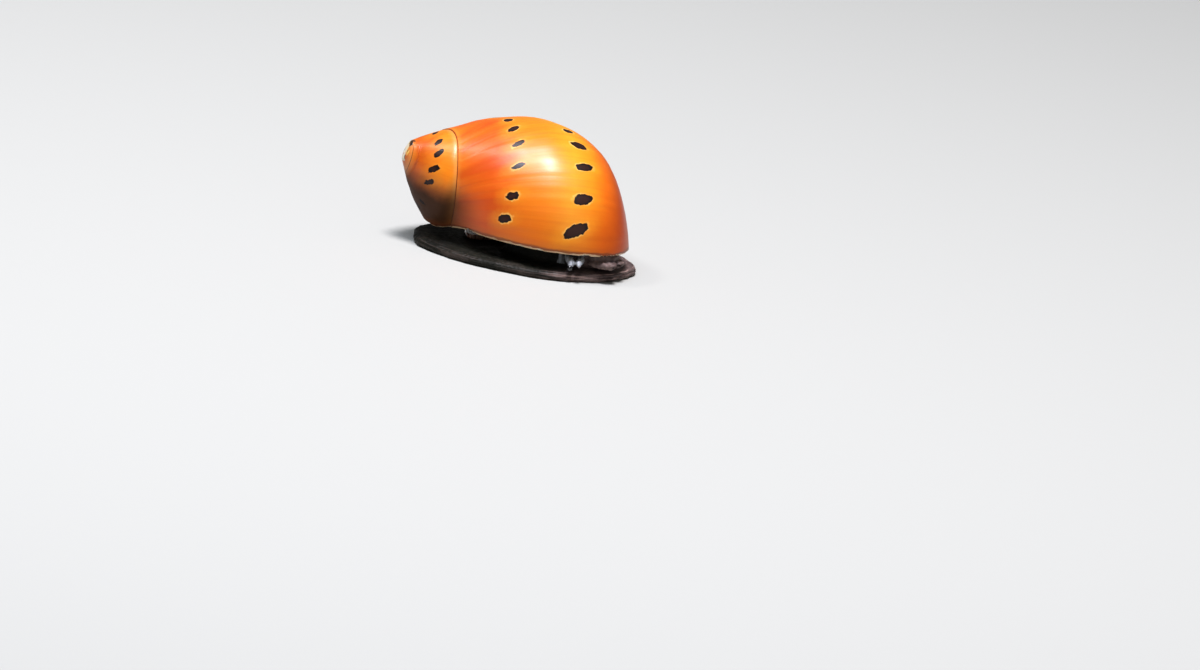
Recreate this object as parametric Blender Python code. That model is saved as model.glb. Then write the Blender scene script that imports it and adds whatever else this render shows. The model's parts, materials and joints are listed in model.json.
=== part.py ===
"""Nerite snail at rest on its foot, life size, one object for each part of the animal.

Metres, +Z up. X runs along the shell from its spire to its base, -Y is the side of the
shell's outer lip, and the sole lies on Z = 0 with the origin under the middle.
"""

import math

import bmesh
import bpy
import numpy as np
from mathutils import Matrix

MM = 0.001
COLLECTION = "nerite_snail"
# Clearance that touching parts keep
GAP = 0.3 * MM

# Height of the shell's flat underside, which is the plane of its lip, and how much
# lower the side by the spire hangs, between these places along X
LIP_HEIGHT = 2.6 * MM
SPIRE_SAG = 0.85 * MM
SAG_PLACES = (-4.5 * MM, -7.5 * MM)
SAG_STEPS = 7
# Where the shell's coiling axis starts, and how it lies
SHELL_POLE = np.array([-12.55 * MM, -0.36 * MM, LIP_HEIGHT + 6.51 * MM])
AXIS_DIP = math.radians(21.5)
AXIS_TURN = math.radians(11.1)
GROWTH_TURN = math.radians(8.9)

# Growth: size gained in one turn by the whorl and, faster, by the suture
WHORL_GROWTH = 2.457
SUTURE_GROWTH = 3.11
SUTURE_START = 4.19 * MM
BASE_START = 19.72 * MM
# Near the lip the suture runs on further from the spire, by this much over these turns
SUTURE_DROP = 1.5 * MM
DROP_TURNS = (0.15, 0.48)
LAST_TURN = 0.52
# The shell's outside is one spiral strip, from each suture to the next: its turns, its rings,
# its points across, and those across the base, which starts at a share of the last turn
STRIP_TURNS = 2.36
RINGS_PER_TURN = 48
ACROSS_UPPER = 18
ACROSS_LOWER = 16
BASE_SPLIT = 0.408
# Rings have their points closer together near the suture, by this power
CROWDING = 1.15
# A younger whorl lies no more than this below the older one, a little way from the suture
SUTURE_GROOVE = 0.05 * MM
GROOVE_REACH = 0.3 * MM
WELD = 0.004 * MM

# The whorl's outline at turn 0: share of the way from suture to base, and mm from the axis.
# It is read at this many places.
OUTLINE_READINGS = 600
BODY_OUTLINE = [
    (0.00, 3.61), (0.08, 4.66), (0.18, 6.02), (0.30, 7.21), (0.44, 8.31), (0.58, 8.77),
    (0.72, 8.75), (0.84, 8.15), (0.93, 6.9), (0.98, 5.5), (1.00, 0.0),
]
SPIRE_OUTLINE = [
    (0.00, 2.1), (0.08, 3.4), (0.15, 4.6), (0.30, 6.95), (0.42, 8.55), (0.55, 8.6), (1.00, 7.6),
]
# The spire's outline passes into the body whorl's over these turns
BLEND_TURNS = (-0.75, -0.35)
# Callus holds the base of the younger part at the length it reaches at one turn. It eases
# in over two turns, and starts at a share of the outline.
CALLUS_END = -0.06
CALLUS_TURNS = (-0.62, -0.5)
CALLUS_SHARE = 0.45
# A pad of callus closes the hollow between the oldest and the youngest part of the base. It
# swells out from a place on the axis, with a fillet round it.
PAD_MIDDLE = np.array([3.5, 2.4, 2.6]) * MM
PAD_RADII = np.array([5.7, 5.4, 7.0]) * MM
PAD_FROM = 14 * MM
PAD_FILLET = 1.1 * MM

# The worn tip of the spire: where it ends along the axis, and the low dome over it
WORN_START = 1.62 * MM
WORN_DEPTH = 0.22 * MM
DOME_RINGS = 5
# The young whorls are worn down to a plain cone: its tip on the axis, and its slope
CONE_TIP = 0.6 * MM
CONE_SLOPE = 1.1

# Aperture: wall at the lip, roof height, and the small teeth on the deck's edge
LIP_WALL = 0.75 * MM
LIP_SHARES = (0.02, 0.948)
LIP_POINTS = 40
HALVINGS = 30
APERTURE_POINTS = 72
APERTURE_SOFTENING = 8
APERTURE_STEPS = [(-0.6, 1.0), (0.0, 1.0), (1.1, 0.95), (2.2, 0.86), (3.2, 0.72), (3.9, 0.5)]
TEETH = 3
TOOTH = 0.22 * MM
TOOTHED_SHARE = 0.6

# Foot: an oval sole, longer along the way the snail faces
FOOT_FACING = math.radians(-10)
FOOT_MIDDLE = np.array([1.1, -0.3]) * MM
FOOT_LENGTH = 21.6 * MM
FOOT_WIDTH = 16.4 * MM
FOOT_HEIGHT = 0.95 * MM
FOOT_POINTS = 72
# Height, and how far the edge draws in there
FOOT_STEPS = [(0.0, 0.3), (0.2, 0.08), (0.4, 0.0), (0.62, 0.14), (0.8, 0.45), (0.95, 1.1)]

# Neck and mantle, drawn in from the aperture's wall: the share of the mantle that is open,
# and how far in mm its cutter runs on past both ends
MANTLE_SHARE = 0.8
CUTTER_OVERRUN = 0.5
MANTLE_STEPS = [(0.0, 0.98), (0.12, 1.0), (0.7, 0.97), (1.05, 0.92)]
NECK_STEPS = [(-1.35, 0.52), (-0.5, 0.54), (0.1, 0.64), (1.1, 0.66), (2.0, 0.6), (2.8, 0.44), (3.2, 0.28)]

# Head, with places on it given forward, to the right and up from its middle
FACING = math.radians(-25)
HEAD_MIDDLE = np.array([7.0, -4.3, 2.75]) * MM
HEAD_RADII = np.array([2.2, 2.3, 1.5]) * MM
SNOUT_PLACE = np.array([2.3, 0.78, -1.04]) * MM
SNOUT_RADII = np.array([1.5, 1.15, 0.44]) * MM
MOUTH_PLACE = np.array([3.65, 0.0, -1.11]) * MM
MOUTH_RADII = np.array([0.34, 0.95, 0.09]) * MM

# Feelers and eye stalks: points forward, right and up from the head's middle, and radii there
FEELER_PATH = np.array([[0.5, 1.2, -0.7], [0.8, 2.4, -0.88], [1.13, 3.4, -0.9], [1.5, 4.0, -1.0]]) * MM
FEELER_RADII = np.array([0.4, 0.34, 0.3, 0.15]) * MM
STALK_PATH = np.array([[-0.9, 1.2, -0.7], [-0.42, 2.5, -0.84], [0.5, 3.72, -0.95]]) * MM
STALK_RADII = np.array([0.46, 0.38, 0.34]) * MM
# From the stalk's end to the eye's middle
EYE_PLACE = np.array([0.12, 0.46, -0.42]) * MM
EYE_RADIUS = 0.27 * MM
# The left side is drawn in further, under the lip
LEFT_SHORTER = 0.8

# Operculum on the rear of the foot
OPERCULUM_MIDDLE = np.array([-0.2, 3.6]) * MM
OPERCULUM_LENGTH = 11.0 * MM
OPERCULUM_DEPTH = 6.2 * MM
OPERCULUM_POINTS = 48
OPERCULUM_STEPS = [(0.0, 0.12), (0.2, 0.0), (0.45, 0.12), (0.62, 0.6)]

# Colour and roughness of each part
FINISHES = {
    "shell": ((0.85, 0.28, 0.04), 0.25),
    "foot": ((0.10, 0.075, 0.075), 0.5),
    "head": ((0.13, 0.09, 0.09), 0.45),
    "neck": ((0.12, 0.085, 0.08), 0.5),
    "mantle": ((0.20, 0.15, 0.13), 0.5),
    "tentacle_right": ((0.30, 0.27, 0.25), 0.45),
    "tentacle_left": ((0.30, 0.27, 0.25), 0.45),
    "eye_stalk_right": ((0.36, 0.33, 0.31), 0.45),
    "eye_stalk_left": ((0.36, 0.33, 0.31), 0.45),
    "eye_right": ((0.01, 0.01, 0.012), 0.1),
    "eye_left": ((0.01, 0.01, 0.012), 0.1),
    "operculum": ((0.62, 0.40, 0.28), 0.35),
}
SHARP_ANGLE = 40


def clear_scene():
    for obj in list(bpy.data.objects):
        bpy.data.objects.remove(obj, do_unlink=True)


def hermite(points, stations, at):
    """Smooth curve through points, read at the given stations."""
    slopes = np.gradient(points, stations, axis=0)
    left = np.clip(np.searchsorted(stations, at, side="right") - 1, 0, len(stations) - 2)
    span = (stations[left + 1] - stations[left])[..., None]
    q = (at[..., None] - stations[left][..., None]) / span
    return (
        (2 * q**3 - 3 * q**2 + 1) * points[left]
        + (q**3 - 2 * q**2 + q) * span * slopes[left]
        + (3 * q**2 - 2 * q**3) * points[left + 1]
        + (q**3 - q**2) * span * slopes[left + 1]
    )


def ease(value, start, end):
    share = np.clip((value - start) / (end - start), 0, 1)
    return share * share * (3 - 2 * share)


def shell_axes():
    """Unit vectors: along the axis to the base, outwards at turn 0, and outwards a quarter turn on."""
    level = np.array([math.cos(AXIS_TURN), math.sin(AXIS_TURN), 0.0]) * math.cos(AXIS_DIP)
    along = level - np.array([0.0, 0.0, math.sin(AXIS_DIP)])
    up = np.array([0.0, 0.0, 1.0]) + along * math.sin(AXIS_DIP)
    up /= np.linalg.norm(up)
    side = np.cross(along, up)
    start = up * math.cos(GROWTH_TURN) - side * math.sin(GROWTH_TURN)
    return along, start, np.cross(along, start)


ALONG, START, QUARTER = shell_axes()
FORWARD = np.array([math.cos(FACING), math.sin(FACING), 0.0])
RIGHT = np.array([math.sin(FACING), -math.cos(FACING), 0.0])
UP = np.array([0.0, 0.0, 1.0])


def suture(turn):
    return SUTURE_START * SUTURE_GROWTH**turn + SUTURE_DROP * ease(turn, *DROP_TURNS)


def outline_stations():
    outline = np.array(BODY_OUTLINE) * [1.0, MM]
    path = np.column_stack([outline[:, 0] * (BASE_START - SUTURE_START), outline[:, 1]])
    steps = np.sqrt(np.linalg.norm(np.diff(path, axis=0), axis=1))
    stations = np.concatenate([[0.0], np.cumsum(steps)])
    return outline, stations / stations[-1]


# The two outlines, read densely from the suture 0 to the base 1
SHARES = np.linspace(0, 1, OUTLINE_READINGS)
BODY = hermite(*outline_stations(), SHARES)
SPIRE = np.array(SPIRE_OUTLINE) * [1.0, MM]
SPIRE_OUT = hermite(SPIRE[:, 1:], SPIRE[:, 0], BODY[:, 0])[:, 0]


def whorl_section(turn):
    """(along the axis, out from it) of the whorl's outline, at each of SHARES."""
    blend = 1 - ease(turn, *BLEND_TURNS)
    base = BASE_START * WHORL_GROWTH**turn
    along = suture(turn) + (base - suture(turn)) * BODY[:, 0]
    held = max(BASE_START * WHORL_GROWTH**CALLUS_END - base, 0.0) * ease(turn, *CALLUS_TURNS)
    along = along + held * ease(BODY[:, 0], CALLUS_SHARE, 1.0)
    out = (BODY[:, 1] * (1 - blend) + SPIRE_OUT * blend) * WHORL_GROWTH**turn
    return along, np.minimum(out, np.maximum(along - CONE_TIP, 0.0) * CONE_SLOPE)


def axis_point(turn, along, out):
    angle = 2 * math.pi * turn
    ray = START * math.cos(angle) + QUARTER * math.sin(angle)
    return SHELL_POLE + np.multiply.outer(along, ALONG) + np.multiply.outer(out, ray)


def head_point(place, side=1):
    """World point for one given forward, right and up from the head; side -1 mirrors it."""
    forward, right, up = place
    return HEAD_MIDDLE + FORWARD * forward + RIGHT * right * side + UP * up


def add_mesh(name, mesh):
    data = bpy.data.meshes.new(name)
    mesh.to_mesh(data)
    mesh.free()
    obj = bpy.data.objects.new(name, data)
    bpy.context.scene.collection.objects.link(obj)
    return obj


def loft(name, rings):
    """Closed mesh through rings of equal count, each end closed by one face."""
    count = len(rings[0])
    mesh = bmesh.new()
    verts = [[mesh.verts.new(point) for point in ring] for ring in rings]
    for lower, upper in zip(verts, verts[1:]):
        for i in range(count):
            j = (i + 1) % count
            mesh.faces.new((lower[i], lower[j], upper[j], upper[i]))
    mesh.faces.new(verts[0][::-1])
    mesh.faces.new(verts[-1])
    if mesh.calc_volume(signed=True) < 0:
        bmesh.ops.reverse_faces(mesh, faces=mesh.faces)
    return add_mesh(name, mesh)


def ball(name, middle, radii, axes, segments=24, rings=14):
    """Ellipsoid whose radii lie along three unit axes."""
    mesh = bmesh.new()
    bmesh.ops.create_uvsphere(mesh, u_segments=segments, v_segments=rings, radius=1.0)
    frame = np.array(axes)
    for vert in mesh.verts:
        vert.co = middle + (np.array(vert.co) * radii) @ frame
    if mesh.calc_volume(signed=True) < 0:
        bmesh.ops.reverse_faces(mesh, faces=mesh.faces)
    return add_mesh(name, mesh)


def tube(name, points, radii):
    """Tapered closed tube along a smooth path, from a bevelled curve."""
    curve = bpy.data.curves.new(name, "CURVE")
    curve.dimensions = "3D"
    curve.bevel_depth = 1.0
    curve.bevel_resolution = 2
    curve.use_fill_caps = True
    spline = curve.splines.new("POLY")
    stations = np.linspace(0, 1, len(points))
    at = np.linspace(0, 1, 3 * len(points))
    path = hermite(np.column_stack([points, radii]), stations, at)
    spline.points.add(len(path) - 1)
    for knot, (x, y, z, radius) in zip(spline.points, path):
        knot.co = (x, y, z, 1.0)
        knot.radius = radius
    holder = bpy.data.objects.new(name, curve)
    bpy.context.scene.collection.objects.link(holder)
    bpy.context.view_layer.update()
    graph = bpy.context.evaluated_depsgraph_get()
    data = bpy.data.meshes.new_from_object(holder.evaluated_get(graph))
    bpy.data.objects.remove(holder, do_unlink=True)
    mesh = bmesh.new()
    mesh.from_mesh(data)
    bmesh.ops.remove_doubles(mesh, verts=mesh.verts, dist=0.001 * MM)
    bpy.data.meshes.remove(data)
    return add_mesh(name, mesh)


def combine(pieces, operation):
    """Applies one Boolean of the first piece with all the others, and removes them."""
    first, rest = pieces[0], pieces[1:]
    name = first.name
    group = bpy.data.collections.new(name + "_pieces")
    for piece in rest:
        group.objects.link(piece)
    boolean = first.modifiers.new(operation, "BOOLEAN")
    boolean.operation = operation
    boolean.operand_type = "COLLECTION"
    boolean.solver = "MANIFOLD"
    boolean.collection = group
    bpy.context.view_layer.update()
    graph = bpy.context.evaluated_depsgraph_get()
    data = bpy.data.meshes.new_from_object(first.evaluated_get(graph))
    for piece in pieces:
        bpy.data.objects.remove(piece, do_unlink=True)
    bpy.data.collections.remove(group)
    obj = bpy.data.objects.new(name, data)
    bpy.context.scene.collection.objects.link(obj)
    return keep_largest(obj)


def keep_largest(obj):
    """Leaves only the largest closed surface, without loose scraps or sealed hollows."""
    mesh = bmesh.new()
    mesh.from_mesh(obj.data)
    unseen = set(mesh.verts)
    surfaces = []
    while unseen:
        todo = [unseen.pop()]
        found = set(todo)
        while todo:
            for edge in todo.pop().link_edges:
                for vert in edge.verts:
                    if vert in unseen:
                        unseen.discard(vert)
                        found.add(vert)
                        todo.append(vert)
        surfaces.append(found)
    surfaces.sort(key=len)
    for scrap in surfaces[:-1]:
        bmesh.ops.delete(mesh, geom=list(scrap), context="VERTS")
    mesh.to_mesh(obj.data)
    mesh.free()
    return obj


def drawn_in(outline, distance):
    """Closed plan outline moved inwards by a distance, square to itself."""
    before, after = np.roll(outline, 1, axis=0), np.roll(outline, -1, axis=0)
    run = after - before
    run /= np.linalg.norm(run, axis=1)[:, None]
    inward = np.column_stack([-run[:, 1], run[:, 0]])
    area = np.sum(outline[:, 0] * after[:, 1] - after[:, 0] * outline[:, 1])
    return outline + inward * distance * np.sign(area)


def even(outline, count):
    """Closed outline with its points spaced evenly."""
    closed = np.vstack([outline, outline[:1]])
    run = np.concatenate([[0.0], np.cumsum(np.linalg.norm(np.diff(closed, axis=0), axis=1))])
    at = np.linspace(0, run[-1], count, endpoint=False)
    return np.column_stack([np.interp(at, run, closed[:, 0]), np.interp(at, run, closed[:, 1])])


def softened(outline, count, times):
    """Closed outline with even points and rounded corners."""
    outline = even(outline, count)
    for _ in range(times):
        outline = (np.roll(outline, 1, axis=0) + 2 * outline + np.roll(outline, -1, axis=0)) / 4
    return even(outline, count)


def level_rings(outline, steps, floor):
    """One ring of the outline for each (mm above floor, scale about its middle)."""
    middle = outline.mean(axis=0)
    return [
        np.column_stack([middle + (outline - middle) * scale, np.full(len(outline), floor + rise * MM)])
        for rise, scale in steps
    ]


def inset_rings(outline, steps, floor):
    """One ring of the outline for each (mm above floor, mm drawn in)."""
    return [
        np.column_stack([drawn_in(outline, inset * MM), np.full(len(outline), floor + rise * MM)])
        for rise, inset in steps
    ]


def lip_outline():
    """Plan points where the last whorl meets the plane of the lip, from the spire to the base."""
    points = []
    for share in np.linspace(*LIP_SHARES, LIP_POINTS):
        early, late = 0.0, LAST_TURN
        for _ in range(HALVINGS):
            turn = (early + late) / 2
            along, out = whorl_section(turn)
            place = axis_point(turn, np.interp(share, SHARES, along), np.interp(share, SHARES, out))
            if place[2] > LIP_HEIGHT:
                early = turn
            else:
                late = turn
        points.append(place[:2])
    return np.array(points)


def deck_axes():
    """Plan unit vectors along the straight edge of the deck, and away from the outer lip."""
    lip = lip_outline()
    run = lip[-1] - lip[0]
    run /= np.linalg.norm(run)
    return run, np.array([-run[1], run[0]])


def aperture_outline():
    """Half-moon opening inside the lip; the straight side is the deck's edge, with small teeth."""
    outline = softened(lip_outline(), APERTURE_POINTS, APERTURE_SOFTENING)
    outline = even(drawn_in(outline, LIP_WALL), APERTURE_POINTS)
    run, away = deck_axes()
    place = outline - outline.mean(axis=0)
    depth, reach = place @ away, place @ run
    on_deck = ease(depth, 0.5 * depth.max(), 0.85 * depth.max())
    half = TOOTHED_SHARE * reach.max()
    wave = 0.5 + 0.5 * np.cos(math.pi * TEETH * reach / half)
    return outline - np.outer(on_deck * wave * (np.abs(reach) < half) * TOOTH, away)


def upper_ring(turn, end, older):
    """(along, out) of one ring of the strip; it starts on the older ring, one turn before."""
    along, out = whorl_section(turn)
    start = max(suture(turn), WORN_START)
    first, last = np.interp([start, end], along, SHARES)
    at = first + (last - first) * np.linspace(0, 1, ACROSS_UPPER + 1) ** CROWDING
    run, reach = np.interp(at, SHARES, along), np.interp(at, SHARES, out)
    run[0], run[-1] = start, end
    if older is not None:
        older_along, older_out = whorl_section(turn - 1)
        under = np.where(run < older_along[-1], np.interp(run, older_along, older_out), 0)
        reach = np.maximum(reach, under - SUTURE_GROOVE * ease(run - start, 0, GROOVE_REACH))
        run[0], reach[0] = older[0][-1], older[1][-1]
    return run, reach


def lower_ring(turn, upper):
    """(along, out) of one ring of the base, from the end of the upper ring to the axis."""
    along, out = whorl_section(turn)
    first = np.interp(upper[0][-1], along, SHARES)
    at = np.linspace(first, 1, ACROSS_LOWER + 1)
    run, reach = np.interp(at, SHARES, along), np.interp(at, SHARES, out)
    run[0], reach[0] = upper[0][-1], upper[1][-1]
    reach[-1] = 0.0
    return run, reach


def strip_rings():
    """Points of the strip's rings, and of the base's rings over the last turn."""
    count = math.ceil(STRIP_TURNS * RINGS_PER_TURN)
    last_from = count - RINGS_PER_TURN
    rings, upper, lower = [], [], []
    for i in range(count + 1):
        turn = LAST_TURN - (count - i) / RINGS_PER_TURN
        end = max(suture(turn + 1), WORN_START)
        if i > last_from:
            base = whorl_section(turn)[0][-1]
            end = suture(turn) + BASE_SPLIT * (base - suture(turn))
        older = rings[i - RINGS_PER_TURN] if i >= RINGS_PER_TURN else None
        rings.append(upper_ring(turn, end, older))
        upper.append(axis_point(turn, *rings[-1]))
        if i >= last_from:
            lower.append(axis_point(turn, *lower_ring(turn, rings[-1])))
    return upper, lower


def grid_faces(first, rows, columns):
    """Quads between rows of points that are numbered on from first."""
    starts = [first + row * columns + column for row in range(rows - 1) for column in range(columns - 1)]
    return [(a, a + 1, a + 1 + columns, a + columns) for a in starts]


def smooth_max(first, second, width):
    """The larger of two, with the crease between them rounded over the width."""
    share = np.clip(0.5 + 0.5 * (first - second) / width, 0, 1)
    return second * (1 - share) + first * share + width * share * (1 - share)


def padded_out(points):
    """Moves points out to the pad of callus, along rays from a place on the axis."""
    middle = SHELL_POLE + ALONG * PAD_FROM
    ray = points - middle
    reach = np.linalg.norm(ray, axis=1)
    ray /= reach[:, None]
    start, way = (middle - PAD_MIDDLE) / PAD_RADII, ray / PAD_RADII
    a, b, c = (way**2).sum(axis=1), way @ start, (start**2).sum() - 1
    pad = (np.sqrt(np.maximum(b * b - a * c, 0)) - b) / a
    return middle + ray * smooth_max(reach, pad, PAD_FILLET)[:, None]


def dome_rings(rim):
    """Low dome on the circle where the strip starts, its last ring drawn in to the tip."""
    middle = rim.mean(axis=0)
    angles = np.linspace(0, math.pi / 2, DOME_RINGS + 1)[1:]
    return [middle + (rim - middle) * math.cos(a) - ALONG * WORN_DEPTH * math.sin(a) for a in angles]


def make_strip():
    """The shell's closed outside: the strip, the worn tip, and one flat face at the last ring."""
    upper, lower = strip_rings()
    wide, narrow = ACROSS_UPPER + 1, ACROSS_LOWER + 1
    first_lower = len(upper) * wide
    last_lower = first_lower + (len(lower) - 1) * narrow
    faces = grid_faces(0, len(upper), wide) + grid_faces(first_lower, len(lower), narrow)
    mouth = list(range(first_lower - wide, first_lower))
    mouth += list(range(last_lower + 1, last_lower + narrow))
    mouth += [first_lower + i * narrow + narrow - 1 for i in range(len(lower) - 2, -1, -1)]
    mouth += list(range(first_lower + narrow - 2, first_lower, -1))
    faces.append(mouth)
    rim = [i * wide for i in range(RINGS_PER_TURN)]
    points = np.vstack(upper + lower)
    domes = dome_rings(points[rim])
    rows = [rim]
    for k in range(DOME_RINGS):
        start = len(points) + k * RINGS_PER_TURN
        rows.append(list(range(start, start + RINGS_PER_TURN)))
    for low, high in zip(rows, rows[1:]):
        for i in range(RINGS_PER_TURN):
            j = (i + 1) % RINGS_PER_TURN
            faces.append((low[i], high[i], high[j], low[j]))
    mesh = bmesh.new()
    verts = [mesh.verts.new(point) for point in padded_out(np.vstack([points] + domes))]
    for face in faces:
        mesh.faces.new([verts[i] for i in face])
    bmesh.ops.remove_doubles(mesh, verts=mesh.verts, dist=WELD)
    bmesh.ops.recalc_face_normals(mesh, faces=mesh.faces)
    if mesh.calc_volume(signed=True) < 0:
        bmesh.ops.reverse_faces(mesh, faces=mesh.faces)
    return add_mesh("shell", mesh)


def underside_rings():
    """Sections, one for each place along X, of the block that the shell's underside is cut by."""
    far = 40 * MM
    places = np.concatenate([[far], np.linspace(*SAG_PLACES, SAG_STEPS), [-far]])
    tops = LIP_HEIGHT - SPIRE_SAG * ease(places, *SAG_PLACES)
    return [
        np.array([(x, -far, -far), (x, far, -far), (x, far, top), (x, -far, top)])
        for x, top in zip(places, tops)
    ]


def make_shell():
    shell = combine([make_strip(), loft("under", underside_rings())], "DIFFERENCE")
    rings = level_rings(aperture_outline(), APERTURE_STEPS, LIP_HEIGHT)
    return combine([shell, loft("aperture", rings)], "DIFFERENCE")


def foot_outline():
    """Oval, a little broader in front, with a faintly wavy edge."""
    angles = np.linspace(0, 2 * math.pi, FOOT_POINTS, endpoint=False)
    wave = 1 + 0.012 * np.sin(5 * angles + 1) + 0.008 * np.sin(9 * angles)
    ahead = FOOT_LENGTH / 2 * np.cos(angles) * wave
    across = FOOT_WIDTH / 2 * np.sin(angles) * wave * (1 + 0.06 * np.cos(angles))
    forward = np.array([math.cos(FOOT_FACING), math.sin(FOOT_FACING)])
    return FOOT_MIDDLE + np.outer(ahead, forward) + np.outer(across, [-forward[1], forward[0]])


def make_foot():
    return loft("foot", inset_rings(foot_outline(), FOOT_STEPS, 0.0))


def make_mantle():
    """Collar of mantle inside the lip."""
    outer = drawn_in(aperture_outline(), GAP)
    rings = level_rings(outer, MANTLE_STEPS, LIP_HEIGHT)
    rises = [rise for rise, _ in MANTLE_STEPS]
    through = [(rises[0] - CUTTER_OVERRUN, MANTLE_SHARE), (rises[-1] + CUTTER_OVERRUN, MANTLE_SHARE)]
    hole = loft("hole", level_rings(outer, through, LIP_HEIGHT))
    return combine([loft("mantle", rings), hole], "DIFFERENCE")


def make_neck():
    return loft("neck", level_rings(aperture_outline(), NECK_STEPS, LIP_HEIGHT))


def make_head(grow=0.0):
    """Rounded head with a broad snout of two lobes; grow makes the room that it needs."""
    axes = [FORWARD, RIGHT, UP]
    pieces = [ball("head", HEAD_MIDDLE, HEAD_RADII + grow, axes)]
    for side in (1, -1):
        pieces.append(ball("lobe", head_point(SNOUT_PLACE, side), SNOUT_RADII + grow, axes))
    head = combine(pieces, "UNION")
    if grow:
        return head
    mouth = ball("mouth", head_point(MOUTH_PLACE), MOUTH_RADII, axes, segments=20, rings=10)
    return combine([head, mouth], "DIFFERENCE")


def side_path(path, side):
    shorter = LEFT_SHORTER if side < 0 else 1.0
    root = path[0]
    return np.array([head_point(root + (place - root) * shorter, side) for place in path])


def make_feeler(name, side, grow=0.0):
    return tube(name, side_path(FEELER_PATH, side), FEELER_RADII + grow)


def make_stalk(name, side, grow=0.0):
    return tube(name, side_path(STALK_PATH, side), STALK_RADII + grow)


def make_eye(name, side):
    """Bead set off the stalk's end."""
    end = side_path(STALK_PATH, side)[-1]
    middle = end + head_point(EYE_PLACE, side) - HEAD_MIDDLE
    return ball(name, middle, np.full(3, EYE_RADIUS), np.eye(3), segments=16, rings=10)


def make_operculum():
    """Half-moon with rounded corners, its straight side towards the deck's edge."""
    angles = np.linspace(0, math.pi, OPERCULUM_POINTS)
    bow = np.column_stack([
        np.cos(angles) * OPERCULUM_LENGTH / 2,
        (np.sin(angles) - 0.5) * OPERCULUM_DEPTH,
    ])
    outline = OPERCULUM_MIDDLE + softened(bow, OPERCULUM_POINTS, 3) @ np.array(deck_axes())
    return loft("operculum", inset_rings(outline, OPERCULUM_STEPS, FOOT_HEIGHT + GAP))


def centre(objects):
    """Moves everything so the origin lies under the middle of the whole."""
    corners = np.array([vert.co for obj in objects for vert in obj.data.vertices])
    middle = (corners.min(axis=0) + corners.max(axis=0)) / 2
    shift = Matrix.Translation((-middle[0], -middle[1], 0.0))
    for obj in objects:
        obj.data.transform(shift)


def material(name, colour, roughness):
    made = bpy.data.materials.new(name)
    made.use_nodes = True
    shader = made.node_tree.nodes["Principled BSDF"]
    shader.inputs["Base Color"].default_value = (*colour, 1.0)
    shader.inputs["Roughness"].default_value = roughness
    shader.inputs["Metallic"].default_value = 0.0
    return made


def feelers(side, grow=0.0):
    word = "right" if side > 0 else "left"
    return [make_feeler("tentacle_" + word, side, grow), make_stalk("eye_stalk_" + word, side, grow)]


def soft_parts():
    """The fleshy parts: feelers are cut clear of the head, neck and mantle of both."""
    parts = [make_foot(), make_head()]
    parts += [
        combine([feeler, make_head(GAP)], "DIFFERENCE") for side in (1, -1) for feeler in feelers(side)
    ]
    parts += [
        combine([whole, make_head(GAP)] + feelers(1, GAP) + feelers(-1, GAP), "DIFFERENCE")
        for whole in (make_neck(), make_mantle())
    ]
    return parts


def main():
    clear_scene()
    eyes = [make_eye("eye_right", 1), make_eye("eye_left", -1)]
    parts = [make_shell(), *soft_parts(), make_operculum(), *eyes]
    centre(parts)
    collection = bpy.data.collections.new(COLLECTION)
    bpy.context.scene.collection.children.link(collection)
    for obj in parts:
        bpy.context.scene.collection.objects.unlink(obj)
        collection.objects.link(obj)
        obj.data.materials.clear()
        obj.data.materials.append(material(obj.name, *FINISHES[obj.name]))
        obj.data.shade_smooth()
        obj.data.set_sharp_from_angle(angle=math.radians(SHARP_ANGLE))


main()
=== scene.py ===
"""Looks of the nerite snail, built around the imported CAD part.

Metres, +Z up, in the part's own frame. The shell is one spiral strip that follows the whorls,
and one skin stands for all the flesh. The first numbers repeat those of the part's source.
"""

import json
import math

import bmesh
import bpy
import numpy as np
from mathutils import Matrix, Vector, noise

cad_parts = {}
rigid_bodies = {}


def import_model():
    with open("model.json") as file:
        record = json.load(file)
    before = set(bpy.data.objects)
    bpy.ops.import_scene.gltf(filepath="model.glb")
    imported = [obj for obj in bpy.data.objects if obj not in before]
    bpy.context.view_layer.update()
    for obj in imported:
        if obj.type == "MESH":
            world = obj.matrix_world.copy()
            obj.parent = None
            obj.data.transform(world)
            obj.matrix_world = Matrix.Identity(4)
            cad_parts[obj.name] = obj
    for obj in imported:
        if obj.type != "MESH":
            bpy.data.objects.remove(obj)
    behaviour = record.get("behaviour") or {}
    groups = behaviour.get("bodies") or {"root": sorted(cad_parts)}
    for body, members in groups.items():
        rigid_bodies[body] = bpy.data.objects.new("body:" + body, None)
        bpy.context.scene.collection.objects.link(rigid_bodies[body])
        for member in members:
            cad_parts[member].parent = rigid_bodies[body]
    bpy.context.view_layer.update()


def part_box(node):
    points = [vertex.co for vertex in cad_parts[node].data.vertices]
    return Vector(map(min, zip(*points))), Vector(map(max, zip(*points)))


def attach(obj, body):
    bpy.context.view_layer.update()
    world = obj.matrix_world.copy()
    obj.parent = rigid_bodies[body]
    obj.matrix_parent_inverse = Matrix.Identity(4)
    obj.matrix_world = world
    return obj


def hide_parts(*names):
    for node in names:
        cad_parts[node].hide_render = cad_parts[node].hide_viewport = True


for leftover in list(bpy.data.objects):
    bpy.data.objects.remove(leftover, do_unlink=True)
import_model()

MM = 0.001

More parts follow.
